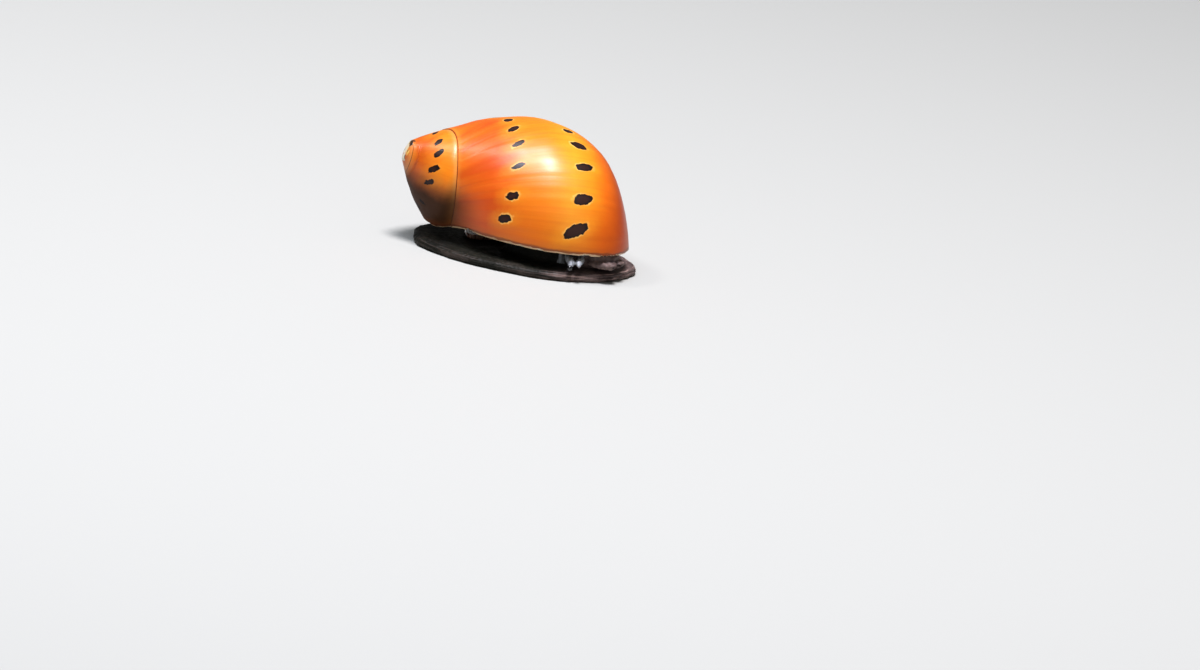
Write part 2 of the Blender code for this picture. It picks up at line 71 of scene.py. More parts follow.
# The part's own numbers
LIP_HEIGHT = 2.6 * MM
SPIRE_SAG = 0.85 * MM
SAG_PLACES = (-4.5 * MM, -7.5 * MM)
SHELL_POLE = np.array([-12.55 * MM, -0.36 * MM, LIP_HEIGHT + 6.51 * MM])
AXIS_DIP = math.radians(21.5)
AXIS_TURN = math.radians(11.1)
GROWTH_TURN = math.radians(8.9)
WHORL_GROWTH = 2.457
SUTURE_GROWTH = 3.11
SUTURE_START = 4.19 * MM
BASE_START = 19.72 * MM
SUTURE_DROP = 1.5 * MM
DROP_TURNS = (0.15, 0.48)
LAST_TURN = 0.52
BODY_OUTLINE = [
    (0.00, 3.61), (0.08, 4.66), (0.18, 6.02), (0.30, 7.21), (0.44, 8.31), (0.58, 8.77),
    (0.72, 8.75), (0.84, 8.15), (0.93, 6.9), (0.98, 5.5), (1.00, 0.0),
]
SPIRE_OUTLINE = [
    (0.00, 2.1), (0.08, 3.4), (0.15, 4.6), (0.30, 6.95), (0.42, 8.55), (0.55, 8.6), (1.00, 7.6),
]
BLEND_TURNS = (-0.75, -0.35)
CALLUS_END = -0.06
CALLUS_TURNS = (-0.62, -0.5)
CALLUS_SHARE = 0.45
PAD_MIDDLE = np.array([3.5, 2.4, 2.6]) * MM
PAD_RADII = np.array([5.7, 5.4, 7.0]) * MM
WORN_START = 1.62 * MM
WORN_DEPTH = 0.22 * MM
CONE_TIP = 0.6 * MM
CONE_SLOPE = 1.1
LIP_WALL = 0.75 * MM
LIP_SHARES = (0.02, 0.948)
APERTURE_STEPS = [(-0.6, 1.0), (0.0, 1.0), (1.1, 0.95), (2.2, 0.86), (3.2, 0.72), (3.9, 0.5)]
TEETH = 3
TOOTH = 0.22 * MM
TOOTHED_SHARE = 0.6
FOOT_FACING = math.radians(-10)
FOOT_MIDDLE = np.array([1.1, -0.3]) * MM
FOOT_LENGTH = 21.6 * MM
FOOT_WIDTH = 16.4 * MM
FOOT_HEIGHT = 0.95 * MM
FACING = math.radians(-25)
HEAD_MIDDLE = np.array([7.0, -4.3, 2.75]) * MM
HEAD_RADII = np.array([2.2, 2.3, 1.5]) * MM
SNOUT_PLACE = np.array([2.3, 0.78, -1.04]) * MM
SNOUT_RADII = np.array([1.5, 1.15, 0.44]) * MM
FEELER_PATH = np.array([[0.5, 1.2, -0.7], [0.8, 2.4, -0.88], [1.13, 3.4, -0.9], [1.5, 4.0, -1.0]]) * MM
FEELER_RADII = np.array([0.4, 0.34, 0.3, 0.15]) * MM
STALK_PATH = np.array([[-0.9, 1.2, -0.7], [-0.42, 2.5, -0.84], [0.5, 3.72, -0.95]]) * MM
STALK_RADII = np.array([0.46, 0.38, 0.34]) * MM
EYE_PLACE = np.array([0.12, 0.46, -0.42]) * MM
EYE_RADIUS = 0.27 * MM
LEFT_SHORTER = 0.8
OPERCULUM_MIDDLE = np.array([-0.2, 3.6]) * MM
OPERCULUM_LENGTH = 11.0 * MM
OPERCULUM_DEPTH = 6.2 * MM

# The finer mesh of the shell
RINGS_PER_TURN = 440
ACROSS_UPPER = 90
ACROSS_LOWER = 80
BASE_SPLIT = 0.408

RIM_ROUND = 0.22 * MM
CHIP_REACH = 0.4 * MM
CHIP_DEPTH = 0.3 * MM

# Dark spots: (turn, share, half length across the whorl, half height, slant), sizes in mm; what
# the photo shows, and then the runs of turns (first, end, step) on the hidden side
MIDDLE_SHARE = 0.262
LOWER_SHARE = 0.608
MIDDLE_SPOTS = [
    (-0.990, 0.268, 0.34, 0.24, 0.60), (-0.877, 0.252, 0.35, 0.28, 0.87),
    (-0.805, 0.256, 0.37, 0.30, 0.90), (-0.726, 0.247, 0.43, 0.33, 0.83),
    (-0.662, 0.246, 0.40, 0.29, 0.90), (0.034, 0.265, 0.45, 0.42, 0.48),
    (0.081, 0.261, 0.56, 0.34, 0.70), (0.128, 0.270, 0.56, 0.30, 0.72),
    (0.180, 0.270, 0.58, 0.26, 0.68), (0.237, 0.261, 0.58, 0.36, 0.50),
    (0.279, 0.246, 0.60, 0.36, 0.50), (0.325, 0.25, 0.58, 0.34, 0.5),
]
LOWER_SPOTS = [
    (0.012, 0.57, 0.60, 0.34, 0.4), (0.058, 0.575, 0.54, 0.36, 0.45), (0.098, 0.604, 0.80, 0.46, 0.20),
    (0.143, 0.616, 0.86, 0.39, 0.44), (0.197, 0.612, 0.92, 0.52, 0.46), (0.2425, 0.600, 1.08, 0.61, 0.74),
]
HIDDEN_MIDDLE = (-0.56, -0.01, 0.0595)
HIDDEN_LOWER = (-0.45, -0.02, 0.047)
SHELL_BANDS = [
    (0.0, (0.84, 0.22, 0.010)), (0.06, (0.80, 0.155, 0.005)), (0.17, (0.80, 0.135, 0.004)),
    (0.27, (0.86, 0.23, 0.006)), (0.42, (0.90, 0.265, 0.007)), (0.56, (0.92, 0.38, 0.016)),
    (0.66, (0.90, 0.31, 0.009)), (0.76, (0.80, 0.175, 0.004)), (0.90, (0.48, 0.058, 0.003)),
    (1.0, (0.28, 0.05, 0.006)),
]

# Flesh: mesh size, the foot's fine frill, and (mm up, mm drawn in) or (mm up, scale) of its forms
SKIN_MESH = 0.085 * MM
FRILL = 0.0035
FOOT_STEPS = [
    (0.0, 0.3), (0.05, 0.2), (0.14, 0.1), (0.26, 0.03), (0.4, 0.0), (0.54, 0.05), (0.66, 0.16),
    (0.78, 0.38), (0.88, 0.8), (0.95, 1.5), (0.99, 2.6),
]
MANTLE_STEPS = [(0.0, 0.93), (0.06, 0.975), (0.2, 0.99), (0.7, 0.97), (1.05, 0.92), (1.2, 0.8)]
NECK_STEPS = [
    (-2.1, 0.74), (-1.7, 0.64), (-1.35, 0.57), (-0.5, 0.54), (0.1, 0.64), (1.1, 0.66), (2.0, 0.6),
    (2.8, 0.44), (3.2, 0.28),
]
THROAT_PLACE = np.array([-0.6, 0.0, -1.1]) * MM
THROAT_RADII = np.array([2.4, 1.9, 0.9]) * MM
FOREHEAD_PLACE = np.array([1.4, 0.0, -0.45]) * MM
FOREHEAD_RADII = np.array([1.9, 1.7, 0.75]) * MM
SOCKET_RADIUS = 0.26 * MM
MOUTH_UP = -1.11
OPERCULUM_FLOOR = FOOT_HEIGHT + 0.1 * MM

# The camera: its own axes, how far off it stands, and the width of what it sees
CAMERA_RIGHT = np.array([0.989, 0.0345, 0.1437])
CAMERA_BACK = np.array([0.0, -0.9724, 0.2334])
CAMERA_AIM = np.array([19.627, -18.29]) * MM
CAMERA_DISTANCE = 1.2
VIEW_WIDTH = 0.114
SENSOR = 36.0


def ease(value, start, end):
    share = np.clip((value - start) / (end - start), 0, 1)
    return share * share * (3 - 2 * share)


def hermite(points, stations, at):
    """Smooth curve through points, read at the given stations."""
    slopes = np.gradient(points, stations, axis=0)
    left = np.clip(np.searchsorted(stations, at, side="right") - 1, 0, len(stations) - 2)
    span = (stations[left + 1] - stations[left])[..., None]
    q = (at[..., None] - stations[left][..., None]) / span
    return (
        (2 * q**3 - 3 * q**2 + 1) * points[left]
        + (q**3 - 2 * q**2 + q) * span * slopes[left]
        + (3 * q**2 - 2 * q**3) * points[left + 1]
        + (q**3 - q**2) * span * slopes[left + 1]
    )


def shell_axes():
    level = np.array([math.cos(AXIS_TURN), math.sin(AXIS_TURN), 0.0]) * math.cos(AXIS_DIP)
    along = level - np.array([0.0, 0.0, math.sin(AXIS_DIP)])
    up = np.array([0.0, 0.0, 1.0]) + along * math.sin(AXIS_DIP)
    up /= np.linalg.norm(up)
    side = np.cross(along, up)
    start = up * math.cos(GROWTH_TURN) - side * math.sin(GROWTH_TURN)
    return along, start, np.cross(along, start)


ALONG, START, QUARTER = shell_axes()
FORWARD = np.array([math.cos(FACING), math.sin(FACING), 0.0])
RIGHT = np.array([math.sin(FACING), -math.cos(FACING), 0.0])
UP = np.array([0.0, 0.0, 1.0])


def head_point(place, side=1):
    forward, right, up = place
    return HEAD_MIDDLE + FORWARD * forward + RIGHT * right * side + UP * up


def side_path(path, side):
    shorter = LEFT_SHORTER if side < 0 else 1.0
    root = path[0]
    return np.array([head_point(root + (place - root) * shorter, side) for place in path])


def eye_middle(side):
    return side_path(STALK_PATH, side)[-1] + head_point(EYE_PLACE, side) - HEAD_MIDDLE


# The part was moved so that its origin lies under its middle: the eye says by how much
eye_low, eye_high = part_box("eye_right")
SHIFT = (np.array(eye_low) + np.array(eye_high)) / 2 - eye_middle(1)
SHIFT[2] = 0.0


def suture(turn):
    return SUTURE_START * SUTURE_GROWTH**turn + SUTURE_DROP * ease(turn, *DROP_TURNS)


def outline_stations():
    outline = np.array(BODY_OUTLINE) * [1.0, MM]
    path = np.column_stack([outline[:, 0] * (BASE_START - SUTURE_START), outline[:, 1]])
    steps = np.sqrt(np.linalg.norm(np.diff(path, axis=0), axis=1))
    stations = np.concatenate([[0.0], np.cumsum(steps)])
    return outline, stations / stations[-1]


OUTLINE, STATIONS = outline_stations()
SPIRE = np.array(SPIRE_OUTLINE) * [1.0, MM]
SHARES = np.linspace(0, 1, 600)
READ = hermite(OUTLINE, STATIONS, SHARES)
READ_SPIRE = hermite(SPIRE[:, 1:], SPIRE[:, 0], READ[:, 0])[:, 0]


def whorl_section(turn):
    """(along the axis, out from it) on the whorl's outline, densely, from suture to base."""
    blend = 1 - ease(turn, *BLEND_TURNS)
    base = BASE_START * WHORL_GROWTH**turn
    along = suture(turn) + (base - suture(turn)) * READ[:, 0]
    held = max(BASE_START * WHORL_GROWTH**CALLUS_END - base, 0.0) * ease(turn, *CALLUS_TURNS)
    along = along + held * ease(READ[:, 0], CALLUS_SHARE, 1.0)
    out = (READ[:, 1] * (1 - blend) + READ_SPIRE * blend) * WHORL_GROWTH**turn
    return along, np.minimum(out, np.maximum(along - CONE_TIP, 0.0) * CONE_SLOPE)


def axis_point(turn, along, out):
    angle = 2 * math.pi * turn
    ray = START * math.cos(angle) + QUARTER * math.sin(angle)
    return SHELL_POLE + np.multiply.outer(along, ALONG) + np.multiply.outer(out, ray)


def smooth_max(first, second, width):
    """The larger of two, with the crease between them rounded over the width."""
    share = np.clip(0.5 + 0.5 * (first - second) / width, 0, 1)
    return second * (1 - share) + first * share + width * share * (1 - share)


def add_object(name, verts, faces, slots=None):
    data = bpy.data.meshes.new(name)
    data.from_pydata([tuple(v) for v in verts], [], faces)
    if slots is not None:
        data.polygons.foreach_set("material_index", slots)
    obj = bpy.data.objects.new(name, data)
    bpy.context.scene.collection.objects.link(obj)
    return obj


def outward(obj):
    """Turns a closed mesh so that its faces look outwards."""
    mesh = bmesh.new()
    mesh.from_mesh(obj.data)
    if mesh.calc_volume(signed=True) < 0:
        bmesh.ops.reverse_faces(mesh, faces=mesh.faces)
    mesh.to_mesh(obj.data)
    mesh.free()
    return obj


def loft(name, rings, slot=0):
    count = len(rings[0])
    verts = np.vstack(rings)
    faces = [tuple(range(count))[::-1], tuple(range(len(verts) - count, len(verts)))]
    for k in range(len(rings) - 1):
        low, high = k * count, (k + 1) * count
        for i in range(count):
            j = (i + 1) % count
            faces.append((low + i, low + j, high + j, high + i))
    return outward(add_object(name, verts, faces, [slot] * len(faces)))


def combine(pieces, operation):
    first, rest = pieces[0], pieces[1:]
    name = first.name
    group = bpy.data.collections.new(name + "_pieces")
    for piece in rest:
        group.objects.link(piece)
    boolean = first.modifiers.new(operation, "BOOLEAN")
    boolean.operation = operation
    boolean.operand_type = "COLLECTION"
    boolean.solver = "MANIFOLD"
    boolean.collection = group
    bpy.context.view_layer.update()
    graph = bpy.context.evaluated_depsgraph_get()
    data = bpy.data.meshes.new_from_object(first.evaluated_get(graph))
    for piece in pieces:
        bpy.data.objects.remove(piece, do_unlink=True)
    bpy.data.collections.remove(group)
    obj = bpy.data.objects.new(name, data)
    bpy.context.scene.collection.objects.link(obj)
    return keep_largest(obj)


def keep_largest(obj):
    mesh = bmesh.new()
    mesh.from_mesh(obj.data)
    unseen = set(mesh.verts)
    surfaces = []
    while unseen:
        todo = [unseen.pop()]
        found = set(todo)
        while todo:
            for edge in todo.pop().link_edges:
                for vert in edge.verts:
                    if vert in unseen:
                        unseen.discard(vert)
                        found.add(vert)
                        todo.append(vert)
        surfaces.append(found)
    surfaces.sort(key=len)
    for scrap in surfaces[:-1]:
        bmesh.ops.delete(mesh, geom=list(scrap), context="VERTS")
    mesh.to_mesh(obj.data)
    mesh.free()
    return obj


def drawn_in(outline, distance):
    before, after = np.roll(outline, 1, axis=0), np.roll(outline, -1, axis=0)
    run = after - before
    run /= np.linalg.norm(run, axis=1)[:, None]
    inward = np.column_stack([-run[:, 1], run[:, 0]])
    area = np.sum(outline[:, 0] * after[:, 1] - after[:, 0] * outline[:, 1])
    return outline + inward * distance * np.sign(area)


def even(outline, count):
    closed = np.vstack([outline, outline[:1]])
    run = np.concatenate([[0.0], np.cumsum(np.linalg.norm(np.diff(closed, axis=0), axis=1))])
    at = np.linspace(0, run[-1], count, endpoint=False)
    return np.column_stack([np.interp(at, run, closed[:, 0]), np.interp(at, run, closed[:, 1])])


def softened(outline, count, times):
    outline = even(outline, count)
    for _ in range(times):
        outline = (np.roll(outline, 1, axis=0) + 2 * outline + np.roll(outline, -1, axis=0)) / 4
    return even(outline, count)


# Shell ------------------------------------------------------------------------------------


def strip_rings():
    """Rings of the spiral strip, each from one suture to the next, or to the base at the end."""
    total = int(round((LAST_TURN + 1.84) * RINGS_PER_TURN))
    turns = LAST_TURN - (total - np.arange(total + 1)) / RINGS_PER_TURN
    rough = np.random.default_rng(5).normal(size=2 * total)
    rough = np.convolve(rough, np.ones(3) / 3, mode="same")
    slow = np.convolve(np.random.default_rng(8).normal(size=2 * total), np.hanning(31) / 8, mode="same")
    ridges = (0.012 * rough + 0.014 * slow) * MM
    ages = np.linspace(LAST_TURN - 1 - 2 * total / RINGS_PER_TURN, LAST_TURN, 2 * total)
    upper, lower = [], []
    for i, turn in enumerate(turns):
        along, out = whorl_section(turn)
        size = min(WHORL_GROWTH**turn, 1.2)
        ridge = np.interp(growth(turn, READ[:, 0]), ages, ridges) * size
        last = turn > LAST_TURN - 1 - 1e-6
        start = max(suture(turn), WORN_START)
        if turn > LAST_TURN - 1 + 1e-6:
            end = suture(turn) + BASE_SPLIT * (max(along[-1], start) - suture(turn))
        else:
            end = max(suture(turn + 1), start)
        s0, s1 = np.interp([start, end], along, SHARES)
        at = s0 + (s1 - s0) * np.linspace(0, 1, ACROSS_UPPER + 1) ** 1.15
        h, r = np.interp(at, SHARES, along), np.interp(at, SHARES, out)
        h[0], h[-1] = start, end
        fade = ease(h - start, 0, 0.4 * MM)
        r = r + np.interp(at, SHARES, ridge) * fade
        if i >= RINGS_PER_TURN:
            older_along, older_out = whorl_section(turn - 1)
            under = np.interp(h, older_along, older_out)
            under = np.where(h < older_along[-1], under, 0)
            under -= 0.05 * MM * ease(h - start, 0, 0.3 * MM)
            r = np.maximum(r, under)
            h[0], r[0] = upper[i - RINGS_PER_TURN][0][-1], upper[i - RINGS_PER_TURN][1][-1]
        upper.append((h, r, at))
        if last:
            at = s1 + (1 - s1) * np.linspace(0, 1, ACROSS_LOWER + 1)
            h2, r2 = np.interp(at, SHARES, along), np.interp(at, SHARES, out)
            r2 = r2 + np.interp(at, SHARES, ridge) * ease(1 - at, 0, 0.2)
            h2[0], r2[0] = h[-1], r[-1]
            r2[-1] = 0.0
            lower.append((turn, h2, r2, at))
    return turns, upper, lower


def share_along(turn, at):
    return np.interp(at, SHARES, READ[:, 0])


def padded_out(points):
    """Moves points out to the pad of callus, with a rounded fillet where it meets the whorls."""
    middle = SHELL_POLE + ALONG * 14 * MM
    ray = points - middle
    reach = np.linalg.norm(ray, axis=1)
    ray = ray / np.maximum(reach, 1e-9)[:, None]
    start = (middle - PAD_MIDDLE) / PAD_RADII
    way = ray / PAD_RADII
    a = (way**2).sum(axis=1)
    b = way @ start
    c = (start**2).sum() - 1
    pad = (-b + np.sqrt(np.maximum(b * b - a * c, 0))) / a
    new = smooth_max(reach, pad, 1.1 * MM)
    return middle + ray * new[:, None]


def make_strip():
    turns, upper, lower = strip_rings()
    verts, faces = [], []
    count = ACROSS_UPPER + 1
    for turn, (h, r, at) in zip(turns, upper):
        verts.append(axis_point(turn, h, r))
    for i in range(len(turns) - 1):
        for k in range(ACROSS_UPPER):
            a = i * count + k
            faces.append((a, a + 1, a + 1 + count, a + count))
    first_lower = len(turns) * count
    wide = ACROSS_LOWER + 1
    for turn, h, r, at in lower:
        verts.append(axis_point(turn, h, r))
    for i in range(len(lower) - 1):
        for k in range(ACROSS_LOWER):
            a = first_lower + i * wide + k
            faces.append((a, a + 1, a + 1 + wide, a + wide))
    last_upper = (len(turns) - 1) * count
    last_lower = first_lower + (len(lower) - 1) * wide
    end = list(range(last_upper, last_upper + count))
    end += list(range(last_lower + 1, last_lower + wide))
    end += [first_lower + i * wide + wide - 1 for i in range(len(lower) - 2, -1, -1)]
    end += list(range(first_lower + wide - 2, first_lower, -1))
    faces.append(tuple(end))
    points = np.vstack(verts)
    # The worn tip is a low dome over the circle where the strip starts
    spin = np.arange(RINGS_PER_TURN)
    rim = points[spin * count]
    middle = rim.mean(axis=0)
    tip = middle - ALONG * WORN_DEPTH
    domes = []
    for q in np.linspace(0, 1, 14)[1:-1]:
        place = middle + (rim - middle) * (1 - q)
        domes.append(place - ALONG * WORN_DEPTH * math.sqrt(1 - (1 - q) ** 2))
    base = len(points)
    points = np.vstack([points] + domes + [tip[None, :]])
    previous = [i * count for i in range(RINGS_PER_TURN)]
    for d in range(len(domes)):
        ring = [base + d * RINGS_PER_TURN + i for i in range(RINGS_PER_TURN)]
        for i in range(RINGS_PER_TURN):
            j = (i + 1) % RINGS_PER_TURN
            faces.append((previous[i], ring[i], ring[j], previous[j]))
        previous = ring
    top = len(points) - 1
    for i in range(RINGS_PER_TURN):
        faces.append((previous[i], top, previous[(i + 1) % RINGS_PER_TURN]))
    points = padded_out(points)
    obj = add_object("shell_surface", points, faces, [0] * len(faces))
    mesh = bmesh.new()
    mesh.from_mesh(obj.data)
    bmesh.ops.remove_doubles(mesh, verts=mesh.verts, dist=0.002 * MM)
    bmesh.ops.recalc_face_normals(mesh, faces=mesh.faces)
    loose = [e for e in mesh.edges if not e.is_manifold]
    print("strip: non-manifold edges", len(loose))
    for e in loose[:6]:
        for v in e.verts:
            d = np.array(v.co) - SHELL_POLE
            print("   ", (np.array(v.co) / MM).round(4), "h", round(float(d @ ALONG) / MM, 4), len(e.link_faces), v.index)
    mesh.to_mesh(obj.data)
    mesh.free()
    return outward(obj)


def underside_rings():
    far = 40 * MM
    places = np.concatenate([[far], np.linspace(*SAG_PLACES, 25), [-far]])
    tops = LIP_HEIGHT - SPIRE_SAG * ease(places, *SAG_PLACES)
    return [
        np.array([(x, -far, -far), (x, far, -far), (x, far, top), (x, -far, top)])
        for x, top in zip(places, tops)
    ]


def lip_outline(count=90):
    """Plan points of the lip, with the turn and the share of each."""
    points = []
    turns = []
    shares = np.linspace(*LIP_SHARES, count)
    for share in shares:
        early, late = 0.0, LAST_TURN
        for _ in range(24):
            turn = (early + late) / 2
            along, out = whorl_section(turn)
            place = axis_point(turn, np.interp(share, SHARES, along), np.interp(share, SHARES, out))
            if place[2] > LIP_HEIGHT:
                early = turn
            else:
                late = turn
        points.append(place[:2])
        turns.append(turn)
    return np.array(points), np.array(turns), np.interp(shares, SHARES, READ[:, 0])


LIP, LIP_TURNS, LIP_PLACES = lip_outline()


def growth(turn, share):
    """Turns of growth before the lip: lines of equal growth run as the lip does."""
    return turn - np.interp(share, LIP_PLACES, LIP_TURNS) * ease(turn, -0.9, -0.3)


def deck_axes():
    run = LIP[-1] - LIP[0]
    run = run / np.linalg.norm(run)
    return run, np.array([-run[1], run[0]])


def aperture_outline(count, softening):
    outline = softened(LIP, count, softening)
    outline = even(drawn_in(outline, LIP_WALL), count)
    run, away = deck_axes()
    place = outline - outline.mean(axis=0)
    depth, reach = place @ away, place @ run
    on_deck = ease(depth, 0.5 * depth.max(), 0.85 * depth.max())
    half = TOOTHED_SHARE * reach.max()
    wave = 0.5 + 0.5 * np.cos(math.pi * TEETH * reach / half)
    return outline - np.outer(on_deck * wave * (np.abs(reach) < half) * TOOTH, away)


def level_rings(outline, steps, floor):
    middle = outline.mean(axis=0)
    return [
        np.column_stack([middle + (outline - middle) * scale, np.full(len(outline), floor + rise * MM)])
        for rise, scale in steps
    ]


def noise_at(points, scale, seed=0.0):
    offset = Vector((seed, 3.1 * seed, -1.7 * seed))
    return np.array([noise.noise(Vector(p) * scale + offset) for p in points])


def read_coords(obj):
    flat = np.zeros(len(obj.data.vertices) * 3)
    obj.data.vertices.foreach_get("co", flat)
    return flat.reshape(-1, 3)


def write_coords(obj, points):
    obj.data.vertices.foreach_set("co", points.ravel())
    obj.data.update()


def add_values(obj, name, values):
    layer = obj.data.attributes.new(name, "FLOAT", "POINT")
    layer.data.foreach_set("value", np.asarray(values, np.float32))


def shell_places(points):
    """(turn, share of the way from suture to base, along, out) of points on the whorls."""
    offset = points - SHELL_POLE
    along = offset @ ALONG
    across = offset - np.outer(along, ALONG)
    out = np.linalg.norm(across, axis=1)
    angle = np.arctan2(across @ QUARTER, across @ START) / (2 * math.pi)
    turn = angle - np.ceil(angle - LAST_TURN)
    for _ in range(3):
        turn = np.where(suture(turn) > along + 1e-7, turn - 1, turn)
    base = BASE_START * WHORL_GROWTH**turn
    held = np.maximum(BASE_START * WHORL_GROWTH**CALLUS_END - base, 0.0) * ease(turn, *CALLUS_TURNS)
    share = (along - suture(turn)) / (base - suture(turn))
    for _ in range(4):
        lifted = along - held * ease(share, CALLUS_SHARE, 1.0)
        share = (lifted - suture(turn)) / (base - suture(turn))
    return turn, share, along, out


def make_shell():
    shell = make_strip()
    under = loft("under", underside_rings(), slot=1)
    opening = loft("aperture", level_rings(aperture_outline(220, 60), APERTURE_STEPS, LIP_HEIGHT), slot=1)
    for obj in (shell, under, opening):
        for name in ("shell_outside", "shell_inside"):
            obj.data.materials.append(bpy.data.materials.get(name) or bpy.data.materials.new(name))
    shell = combine([shell, under], "DIFFERENCE")
    shell = combine([shell, opening], "DIFFERENCE")
    return shell


def spot_places():
    """(turn, share, half length across, half height, slant, path scale) of each dark spot."""
    draw = np.random.default_rng(21)
    spots = []
    spots += [(*spot, 1.15) for spot in MIDDLE_SPOTS]
    spots += [(*spot, 1.0) for spot in LOWER_SPOTS]
    for turn in np.arange(*HIDDEN_MIDDLE):
        size = 0.30 + 0.22 * ease(turn, -0.7, 0.1)
        grow = draw.uniform(0.85, 1.2)
        spots.append((turn + draw.uniform(-0.008, 0.008), MIDDLE_SHARE + draw.uniform(-0.012, 0.012),
                      size * grow, size * draw.uniform(0.55, 0.8), draw.uniform(0.4, 0.8), 1.15))
    for turn in np.arange(*HIDDEN_LOWER):
        grow = draw.uniform(0.85, 1.15)
        spots.append((turn + draw.uniform(-0.006, 0.006), LOWER_SHARE + draw.uniform(-0.012, 0.012),
                      0.76 * grow, 0.42 * draw.uniform(0.8, 1.15), draw.uniform(0.1, 0.7), 1.0))
    return spots


def spot_distance(turn, share, out):
    """mm from the edge of the nearest spot, negative inside."""
    nearest = np.full(len(turn), 2.0)
    for at, middle, half, height, slant, scale in spot_places():
        near = np.abs(turn - at) < 0.12
        width = (BASE_START * WHORL_GROWTH**at - suture(at)) * scale / MM
        across = (share[near] - middle) * width
        run = (turn[near] - at) * 2 * math.pi * out[near] / MM + slant * across
        size = (np.abs(across / half) ** 2.3 + np.abs(run / height) ** 2.3) ** (1 / 2.3)
        nearest[near] = np.minimum(nearest[near], (size - 1) * min(half, height))
    return nearest


def finish_shell(shell):
    points = read_coords(shell)
    turn, share, along, out = shell_places(points)
    younger = (along - suture(turn)) / MM * 1.3
    older = (suture(turn + 1) - along) / MM * 1.3
    older = np.where(turn + 1 > LAST_TURN + 0.02, 9.0, older)
    plane = LIP_HEIGHT - SPIRE_SAG * ease(points[:, 0], *SAG_PLACES)
    rim = points[:, 2] - plane
    # The lip's outer edge is rounded, by drawing the lowest part of the wall inwards
    faces = shell.data.polygons
    inside = np.zeros(len(points), bool)
    outside = np.zeros(len(points), bool)
    for face in faces:
        (inside if face.material_index else outside)[list(face.vertices)] = True
    flat = np.zeros(len(points) * 3)
    shell.data.vertex_normals.foreach_get("vector", flat)
    normals = flat.reshape(-1, 3)
    wall = outside & (rim < RIM_ROUND)
    level = normals[:, :2] / np.maximum(np.linalg.norm(normals[:, :2], axis=1), 1e-6)[:, None]
    low = np.clip(rim, 0, RIM_ROUND)
    inset = RIM_ROUND - np.sqrt(np.maximum(RIM_ROUND**2 - (RIM_ROUND - low) ** 2, 0))
    points[wall, :2] -= level[wall] * inset[wall, None]
    # Small chips and crumbs along the edge of the lip
    low_edge = np.where(rim < CHIP_REACH)[0]
    chips = noise_at(points[low_edge] * [1, 1, 0.2], 1300.0, 6.0) + 0.5 * noise_at(points[low_edge] * [1, 1, 0.2], 3400.0, 9.0)
    depth = np.clip(chips - 0.05, 0, 0.6) * CHIP_DEPTH + np.clip(chips + 0.3, 0, 1) * 0.02 * MM
    outer = outside[low_edge] * (1 - ease(rim[low_edge], 0, CHIP_REACH))
    points[low_edge, 2] += depth * outer
    write_coords(shell, points)
    add_values(shell, "turn", turn)
    add_values(shell, "share", share)
    add_values(shell, "growth", growth(turn, share))
    add_values(shell, "spot", spot_distance(turn, share, out))
    add_values(shell, "suture", np.where(younger < older, younger, -older))
    add_values(shell, "rim", rim / MM)
    add_values(shell, "tip", (along - WORN_START) / MM)
    add_values(shell, "side", points[:, 0] / MM)
    return shell


def place(obj):
    obj.data.transform(Matrix.Translation(SHIFT))
    return obj


# Nodes of the materials --------------------------------------------------------------------


